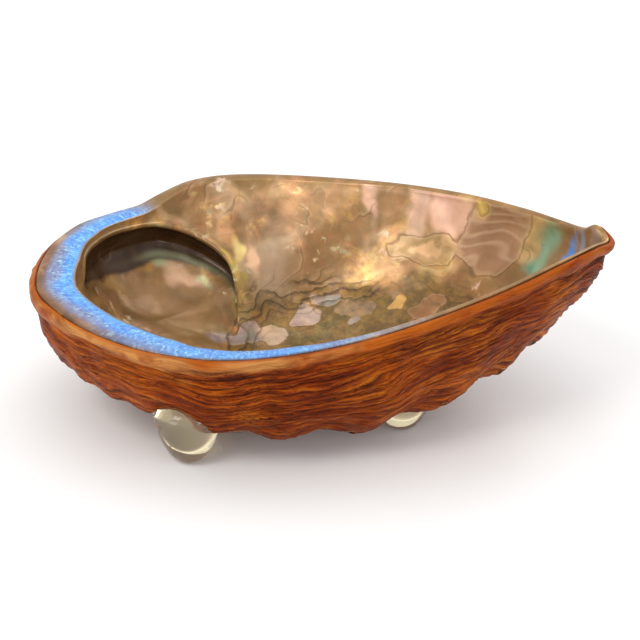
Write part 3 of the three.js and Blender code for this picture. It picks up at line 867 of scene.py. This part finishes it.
def fade(tree, value, low, high, bottom=0.0, top=1.0):
    node = tree.nodes.new("ShaderNodeMapRange")
    node.interpolation_type = "SMOOTHSTEP"
    for key, number in (("From Min", low), ("From Max", high), ("To Min", bottom), ("To Max", top)):
        node.inputs[key].default_value = number
    tree.links.new(value, node.inputs["Value"])
    return node.outputs["Result"]


def calc(tree, operation, first, second):
    node = tree.nodes.new("ShaderNodeMath")
    node.operation = operation
    for socket, value in zip(node.inputs, (first, second)):
        if isinstance(value, (int, float)):
            socket.default_value = value
        else:
            tree.links.new(value, socket)
    return node.outputs["Value"]


def times(tree, first, *others):
    for other in others:
        first = calc(tree, "MULTIPLY", first, other)
    return first


def plus(tree, first, *others):
    for other in others:
        first = calc(tree, "ADD", first, other)
    return first


def less(tree, first, second):
    return calc(tree, "SUBTRACT", first, second)


def blend(tree, kind, share, first, second):
    node = tree.nodes.new("ShaderNodeMix")
    node.data_type = "RGBA"
    node.blend_type = kind
    for socket, value in ((node.inputs[0], share), (node.inputs[6], first), (node.inputs[7], second)):
        if isinstance(value, (int, float)):
            socket.default_value = value
        elif isinstance(value, tuple):
            socket.default_value = (*linear(*value), 1)
        else:
            tree.links.new(value, socket)
    return node.outputs[2]


def bump(tree, height, strength, distance, before=None):
    node = tree.nodes.new("ShaderNodeBump")
    node.inputs["Strength"].default_value = strength
    node.inputs["Distance"].default_value = distance
    tree.links.new(height, node.inputs["Height"])
    if before is not None:
        tree.links.new(before, node.inputs["Normal"])
    return node.outputs["Normal"]


def setSockets(shader, settings):
    for key, value in settings.items():
        shader.inputs[key].default_value = value


waxyFinish = {
    "Coat Weight": 0.07,
    "Coat Roughness": 0.1,
    "Specular IOR Level": 0.1,
    "Specular Tint": (1.0, 0.62, 0.34, 1),
}
pearlyFinish = {
    "Metallic": 0.3,
    "Coat Weight": 0.2,
    "Coat Roughness": 0.2,
    "Specular IOR Level": 0.35,
}
glassFinish = {
    "Base Color": (1.0, 0.88, 0.6, 1),
    "Roughness": 0.02,
    "IOR": 1.42,
    "Transmission Weight": 0.9,
}


def waxyCrust():
    material, tree, shader = newMaterial("waxy_brown_crust")
    growthAt = attribute(tree, "growth").outputs["Vector"]
    toneNode = attribute(tree, "tone")
    belowBead = toneNode.outputs["Alpha"]
    place = tree.nodes.new("ShaderNodeTexCoord").outputs["Object"]
    broad = noise(tree, scaled(tree, growthAt, (0.05, 0.05, 0.42)), 1, 5, 0.62)
    fine = noise(tree, scaled(tree, growthAt, (0.1, 0.1, 1.5), (3, 1, 5)), 1, 5, 0.65)
    threadNoise = noise(tree, scaled(tree, growthAt, (0.16, 0.16, 3.6), (9, 4, 2)), 1, 4, 0.6)
    pits = noise(tree, place, 420, 3, 0.6)
    broadShade = ramp(tree, broad, [
        (0.32, (150, 104, 80)), (0.45, (220, 196, 172)), (0.58, (255, 250, 236)), (0.7, (200, 160, 126)),
    ])
    fineShade = ramp(tree, fine, [
        (0.34, (120, 76, 50)), (0.46, (216, 190, 166)), (0.56, (255, 252, 240)), (0.66, (210, 180, 150)),
    ])
    colour = blend(tree, "MULTIPLY", times(tree, belowBead, 0.8), toneNode.outputs["Color"], broadShade)
    colour = blend(tree, "MULTIPLY", plus(tree, times(tree, belowBead, 0.5), 0.4), colour, fineShade)
    # thin dark grain lines that bend with the growth, calmer in some places
    bend = noise(tree, scaled(tree, growthAt, (0.09, 0.09, 0.3), (1, 7, 3)), 1, 3, 0.6)
    grain = plus(tree, times(tree, split(tree, growthAt)[2], 0.85), times(tree, bend, 5.0))
    grain = calc(tree, "FRACT", grain, 0)
    grainLine = times(tree, fade(tree, grain, 0.7, 0.93), fade(tree, grain, 1.0, 0.95))
    grainLine = times(tree, grainLine, fade(tree, broad, 0.62, 0.42))
    cracks = calc(tree, "MAXIMUM", fade(tree, threadNoise, 0.42, 0.33), grainLine)
    quiet = fade(tree, noise(tree, place, 26, 2), 0.42, 0.62, 1.0, 0.35)
    cracks = times(tree, cracks, quiet, belowBead)
    colour = blend(tree, "MIX", times(tree, cracks, 0.8), colour, (42, 13, 2))
    # painted highlight: warm orange on the raised parts of the surface
    warmHighlight = times(tree, fade(tree, fine, 0.55, 0.64), fade(tree, broad, 0.42, 0.58), belowBead)
    colour = blend(tree, "MIX", times(tree, warmHighlight, 0.3), colour, (220, 138, 28))
    pitShare = times(tree, fade(tree, pits, 0.62, 0.72, 0, 0.5), belowBead)
    colour = blend(tree, "MULTIPLY", pitShare, colour, (130, 70, 34))
    tree.links.new(colour, shader.inputs["Base Color"])
    height = plus(tree, times(tree, broad, 0.6), times(tree, fine, 0.5), times(tree, threadNoise, 0.25))
    height = less(tree, height, times(tree, cracks, 0.35))
    height = times(tree, height, plus(tree, times(tree, belowBead, 0.8), 0.2))
    normal = bump(tree, height, 0.8, 1.5 * mm)
    tree.links.new(bump(tree, pits, 0.3, 0.25 * mm, normal), shader.inputs["Normal"])
    tree.links.new(fade(tree, fine, 0.35, 0.65, 0.5, 0.32), shader.inputs["Roughness"])
    setSockets(shader, waxyFinish)
    return material


# soft changing colours of the nacre with painted sheen in their brightest parts, and small flecks of
# painted glint
def sheenOver(tree, place, colour, clouding, shine, lively, notBand):
    sheen = noise(tree, scaled(tree, place, (84, 66, 92)), 1, 5, 0.58, 0.7)
    colour = blend(tree, "MIX", times(tree, shine, 0.4), colour, ramp(tree, sheen, [
        (0.30, (84, 58, 24)), (0.42, (116, 86, 46)), (0.5, (142, 110, 72)),
        (0.57, (172, 132, 98)), (0.64, (222, 180, 104)), (0.72, (248, 222, 168)),
    ]))
    streaks = noise(tree, scaled(tree, place, (80, 26, 34)), 1, 4, 0.5, 0.7)
    colour = blend(tree, "SOFT_LIGHT", times(tree, shine, 0.4), colour, ramp(tree, streaks, [
        (0.34, (130, 118, 90)), (0.46, (178, 178, 172)), (0.56, (202, 186, 176)), (0.66, (236, 214, 182)),
    ]))
    hues = noise(tree, place, 150, 3, 0.5, 0.8)
    colour = blend(tree, "SOFT_LIGHT", times(tree, lively, 0.35), colour, ramp(tree, hues, [
        (0.35, (164, 184, 160)), (0.5, (188, 188, 188)), (0.62, (224, 192, 192)),
    ]))
    colour = blend(tree, "MULTIPLY", times(tree, notBand, 0.6), colour, ramp(tree, clouding, [
        (0.3, (206, 190, 160)), (0.45, (240, 230, 214)), (0.58, (255, 252, 248)), (0.7, (226, 214, 196)),
    ]))
    # painted glint: small bright flecks
    flecks = fade(tree, noise(tree, place, 210, 3, 0.55, 0.4), 0.58, 0.7)
    sparkle = times(tree, flecks, fade(tree, noise(tree, place, 38, 2), 0.48, 0.62), shine, 0.7)
    return blend(tree, "MIX", sparkle, colour, ramp(tree, noise(tree, place, 55, 2), [
        (0.35, (250, 218, 130)), (0.46, (246, 204, 184)), (0.55, (216, 226, 186)), (0.64, (250, 200, 136)),
    ]))


# edges where thin layers end, each a dark line with a pale band of painted highlight beside it, round the
# painted plates too, and the ridges of the wavy plate
def edgesOver(tree, place, colour, notBand, pocketShare, plateAt, waveAt):
    tiers = times(tree, noise(tree, place, 30, 3, 0.5, 0.4), 9.0)
    edge = calc(tree, "FRACT", tiers, 0)
    darkEdge = times(tree, fade(tree, edge, 0.88, 0.97), fade(tree, edge, 1.0, 0.985))
    edgeHighlight = times(tree, fade(tree, edge, 0.6, 0.87), fade(tree, edge, 0.9, 0.87))
    edgeShare = times(tree, fade(tree, noise(tree, place, 44, 2), 0.5, 0.64), notBand)
    edgeShare = times(tree, edgeShare, less(tree, 1.0, times(tree, pocketShare, 0.7)))
    darkEdge = times(tree, darkEdge, edgeShare)
    colour = blend(tree, "MULTIPLY", times(tree, darkEdge, 0.4), colour, (150, 122, 84))
    # painted highlight beside each layer edge
    colour = blend(tree, "SCREEN", times(tree, edgeHighlight, edgeShare, 0.22), colour, (190, 150, 120))
    jagged = times(tree, less(tree, noise(tree, place, 210, 3, 0.6), 0.5), 0.22)
    plateEdge = plus(tree, plateAt, jagged)
    plateLine = times(tree, fade(tree, plateEdge, 0.95, 1.0), fade(tree, plateEdge, 1.09, 1.02))
    plateRimHighlight = times(tree, fade(tree, plateEdge, 0.72, 0.93), fade(tree, plateEdge, 0.99, 0.94))
    colour = blend(tree, "MULTIPLY", times(tree, plateLine, 0.4), colour, (140, 116, 74))
    # painted highlight just inside each plate's edge line
    colour = blend(tree, "SCREEN", times(tree, plateRimHighlight, 0.2), colour, (196, 160, 126))
    waves = times(tree, noise(tree, place, 34, 2, 0.5, 0.5), 6.0)
    waves = plus(tree, waves, times(tree, split(tree, place)[2], 200.0))
    wave = times(tree, calc(tree, "PINGPONG", waves, 0.5), 2.0)
    ridgeShare = times(tree, fade(tree, wave, 0.45, 1.0), waveAt, 0.34)
    colour = blend(tree, "SCREEN", ridgeShare, colour, (196, 158, 130))
    return colour, darkEdge, plateLine, times(tree, wave, waveAt)


# muscle scar: agate lines round its edge, small flakes and mottling inside
def scarOver(tree, place, colour, scarShare, scarAt, plateAt):
    wobble = times(tree, noise(tree, place, 60, 4, 0.55), 4.4)
    ring = calc(tree, "FRACT", plus(tree, times(tree, scarAt, 12.0), wobble), 0)
    ringLine = times(tree, fade(tree, ring, 0.4, 0.88), fade(tree, ring, 1.0, 0.9))
    ringZone = times(tree, fade(tree, scarAt, 0.62, 0.84), fade(tree, scarAt, 1.1, 1.0))
    ringLine = times(tree, ringLine, ringZone, fade(tree, noise(tree, place, 50, 2), 0.36, 0.56))
    colour = blend(tree, "MULTIPLY", times(tree, ringLine, 0.75), colour, (120, 108, 60))
    shake = tree.nodes.new("ShaderNodeTexNoise")
    shake.inputs["Scale"].default_value = 160
    tree.links.new(place, shake.inputs["Vector"])
    shaken = tree.nodes.new("ShaderNodeVectorMath")
    tree.links.new(scaled(tree, place, (100, 190, 190)), shaken.inputs[0])
    tree.links.new(shake.outputs["Color"], shaken.inputs[1])
    cells = tree.nodes.new("ShaderNodeTexVoronoi")
    cells.inputs["Scale"].default_value = 1.0
    tree.links.new(shaken.outputs["Vector"], cells.inputs["Vector"])
    flakeColour = ramp(tree, split(tree, cells.outputs["Color"])[0], [
        (0.0, (132, 104, 50)), (0.3, (158, 126, 64)), (0.5, (124, 112, 60)),
        (0.66, (170, 136, 88)), (0.8, (146, 118, 60)), (0.92, (182, 152, 128)),
    ], True)
    flakeShare = times(tree, scarShare, fade(tree, scarAt, 0.86, 0.7), fade(tree, plateAt, 1.0, 1.06), 0.6)
    colour = blend(tree, "MIX", flakeShare, colour, flakeColour)
    mottled = ramp(tree, noise(tree, place, 330, 4, 0.65), [
        (0.35, (150, 140, 100)), (0.5, (216, 208, 186)), (0.62, (255, 240, 206)),
    ])
    mottleShare = times(tree, scarShare, fade(tree, plateAt, 1.0, 1.06, 0.25, 1.0), 0.7)
    return blend(tree, "MULTIPLY", mottleShare, colour, mottled), ringLine


# the band's painted blue reflection in short strokes, and pale sparks of painted highlight
def bandFinish(tree, flowAt, tintAt):
    strokes = noise(tree, scaled(tree, flowAt, (0.62, 0.62, 0.3)), 1, 4, 0.66, 1.4)
    hatch = noise(tree, scaled(tree, flowAt, (0.16, 0.16, 0.9), (4, 4, 4)), 1, 4, 0.6, 0.5)
    colour = blend(tree, "MULTIPLY", 0.75, tintAt, ramp(tree, strokes, [
        (0.36, (176, 184, 220)), (0.46, (220, 228, 244)), (0.56, (250, 252, 255)), (0.66, (255, 255, 255)),
    ]))
    colour = blend(tree, "SOFT_LIGHT", 0.5, colour, ramp(tree, hatch, [
        (0.36, (130, 138, 176)), (0.5, (188, 192, 200)), (0.62, (226, 244, 255)),
    ]))
    # painted highlight: pale sparks on the brightest strokes
    sparks = times(tree, fade(tree, strokes, 0.54, 0.64), 0.75)
    return blend(tree, "MIX", sparks, colour, (176, 236, 250)), strokes


def pearlNacre():
    material, tree, shader = newMaterial("pearly_nacre")
    tintNode = attribute(tree, "tint")
    band, scarShare, pocketShare = split(tree, attribute(tree, "masks").outputs["Vector"])
    scarAt, plateAt, waveAt = split(tree, attribute(tree, "field").outputs["Vector"])
    place = tree.nodes.new("ShaderNodeTexCoord").outputs["Object"]
    clouding = noise(tree, place, 75, 4, 0.55, 0.5)
    notBand = less(tree, 1.0, band)
    lively = times(tree, notBand, tintNode.outputs["Alpha"])
    shine = times(tree, lively, less(tree, 1.0, times(tree, scarShare, 0.5)))
    colour = sheenOver(tree, place, tintNode.outputs["Color"], clouding, shine, lively, notBand)
    colour, darkEdge, plateLine, ridges = edgesOver(
        tree, place, colour, notBand, pocketShare, plateAt, waveAt,
    )
    colour, ringLine = scarOver(tree, place, colour, scarShare, scarAt, plateAt)
    flowAt = attribute(tree, "flow").outputs["Vector"]
    bandColour, strokes = bandFinish(tree, flowAt, tintNode.outputs["Color"])
    colour = blend(tree, "MIX", band, colour, bandColour)
    tree.links.new(colour, shader.inputs["Base Color"])
    height = plus(tree, times(tree, strokes, band), times(tree, clouding, 0.3), times(tree, ridges, 0.25))
    for groove, deep in ((ringLine, 0.15), (darkEdge, 0.1), (plateLine, 0.2)):
        height = less(tree, height, times(tree, groove, deep))
    tree.links.new(bump(tree, height, 0.4, 0.6 * mm), shader.inputs["Normal"])
    tree.links.new(fade(tree, clouding, 0.3, 0.7, 0.42, 0.26), shader.inputs["Roughness"])
    setSockets(shader, pearlyFinish)
    return material


def clearGlass():
    material, _, shader = newMaterial("clear_glass")
    setSockets(shader, glassFinish)
    return material


for body, finish in ((shellCrust, waxyCrust()), (shellNacre, pearlNacre())):
    body.data.materials.clear()
    body.data.materials.append(finish)
glass = clearGlass()
print("finishes ready")

# clear glass drops, each on a small flat
footShape = {"flat": 2.0, "point": 0.6, "columns": 72, "sideRows": 22, "topRows": 12}
glassFeet = {
    "foot_front": {"radius": 11.3, "waist": 17.0, "height": 23.0},
    "foot_right": {"radius": 9.5, "waist": 11.5, "height": 14.0},
    "foot_back": {"radius": 11.3, "waist": 16.0, "height": 22.0},
}


# lists of radius and height from the flat up over the round top
def footProfile(settings):
    turn = np.linspace(0, math.pi / 2, footShape["sideRows"])
    share = mix(np.sin(turn), np.sqrt(1 - np.cos(turn)), footShape["point"])
    top = np.linspace(0, math.pi / 2, footShape["topRows"])[1:-1]
    side = mix(footShape["flat"], settings["radius"], share)
    radius = np.concatenate([side, settings["radius"] * np.cos(top)])
    over = mix(settings["waist"], settings["height"], np.sin(top))
    return radius, np.concatenate([settings["waist"] * (1 - np.cos(turn)), over])


def glassFoot(node, settings, centre):
    radius, height = footProfile(settings)
    columns, rows = footShape["columns"], len(radius)
    way = np.linspace(0, 2 * math.pi, columns, endpoint=False)
    rings = np.stack([
        centre[0] + np.outer(np.cos(way), radius), centre[1] + np.outer(np.sin(way), radius),
        np.broadcast_to(height, (columns, rows)),
    ], -1)
    points = np.concatenate([[(*centre, 0)], rings.reshape(-1, 3), [(*centre, settings["height"])]])
    at = 1 + np.arange(columns * rows).reshape(columns, rows)
    nextAt = np.roll(at, -1, 0)
    quads = np.stack([at[:, :-1], nextAt[:, :-1], nextAt[:, 1:], at[:, 1:]], -1).reshape(-1, 4)
    caps = [(0, int(b), int(a)) for a, b in zip(at[:, 0], nextAt[:, 0])]
    caps += [(len(points) - 1, int(a), int(b)) for a, b in zip(at[:, -1], nextAt[:, -1])]
    data = bpy.data.meshes.new(node + "_glass")
    data.from_pydata((points * mm).tolist(), [], quads.tolist() + caps)
    data.update()
    data.polygons.foreach_set("use_smooth", [True] * len(data.polygons))
    data.materials.append(glass)
    foot = bpy.data.objects.new(node + "_glass", data)
    bpy.context.collection.objects.link(foot)
    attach(foot, "root")
    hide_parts(node)


footPlaces = {}
for mount in frame["record"]["mounts"]:
    footPlaces[mount["name"].replace("_rest", "")] = np.array(mount["pos_m"][:2]) / mm
for node, settings in glassFeet.items():
    glassFoot(node, settings, footPlaces[node])
print("feet ready")

for body in (shellCrust, shellNacre):
    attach(body, "root")
    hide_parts("shell")

# floor, light and camera
stageSet = {
    "floor": 6.0,
    "floorColour": (0.96, 0.96, 0.96, 1),
    "roomLight": 0.82,
    "target": Vector((0.0, -0.0175, 0.035)),
    "distance": 0.52,
    "elevation": math.radians(25),
    "lens": 89.4,
}
# name, place, size, power, colour, the point it faces
lamps = [
    ("key_light", (-0.45, -0.5, 0.75), 0.35, 2.6, (1, 0.97, 0.92), (0, 0, 0.03)),
    ("back_light", (0.35, 0.55, 0.6), 0.35, 1.2, (1, 0.97, 0.93), (0, 0, 0.03)),
    ("top_light", (-0.1, 0.1, 0.9), 0.6, 1.0, (1, 1, 1), (0, 0, 0.03)),
    ("low_left_light", (-0.5, -0.6, 0.16), 0.3, 1.0, (1, 1, 1), (0, 0, 0.01)),
    ("low_right_light", (0.5, -0.6, 0.16), 0.3, 1.0, (1, 1, 1), (0, 0, 0.01)),
]
bpy.ops.mesh.primitive_plane_add(size=stageSet["floor"], location=(0, 0, 0))
floor = bpy.context.object
floor.name = "floor"
floorMaterial, _, floorShader = newMaterial("pale_floor")
setSockets(floorShader, {
    "Base Color": stageSet["floorColour"],
    "Roughness": 0.9,
    "Specular IOR Level": 0.1,
})
floor.data.materials.append(floorMaterial)

world = bpy.data.worlds.new("soft_room")
bpy.context.scene.world = world
world.use_nodes = True
room = world.node_tree.nodes["Background"]
room.inputs["Color"].default_value = (1, 1, 1, 1)
room.inputs["Strength"].default_value = stageSet["roomLight"]
for name, place, size, power, colour, toward in lamps:
    data = bpy.data.lights.new(name, "AREA")
    data.energy = power
    data.size = size
    data.color = colour
    lamp = bpy.data.objects.new(name, data)
    bpy.context.collection.objects.link(lamp)
    lamp.location = place
    lamp.rotation_euler = (Vector(toward) - Vector(place)).to_track_quat("-Z", "Y").to_euler()

cameraData = bpy.data.cameras.new("camera")
cameraData.lens = stageSet["lens"]
cameraData.sensor_width = 36
cameraData.clip_start = 0.01
camera = bpy.data.objects.new("camera", cameraData)
bpy.context.collection.objects.link(camera)
tilt = stageSet["elevation"]
camera.location = stageSet["target"] + Vector((0, -math.cos(tilt), math.sin(tilt))) * stageSet["distance"]
camera.rotation_euler = (math.pi / 2 - tilt, 0, 0)
bpy.context.scene.camera = camera
bpy.context.scene.view_settings.view_transform = "Standard"
print("stage ready")
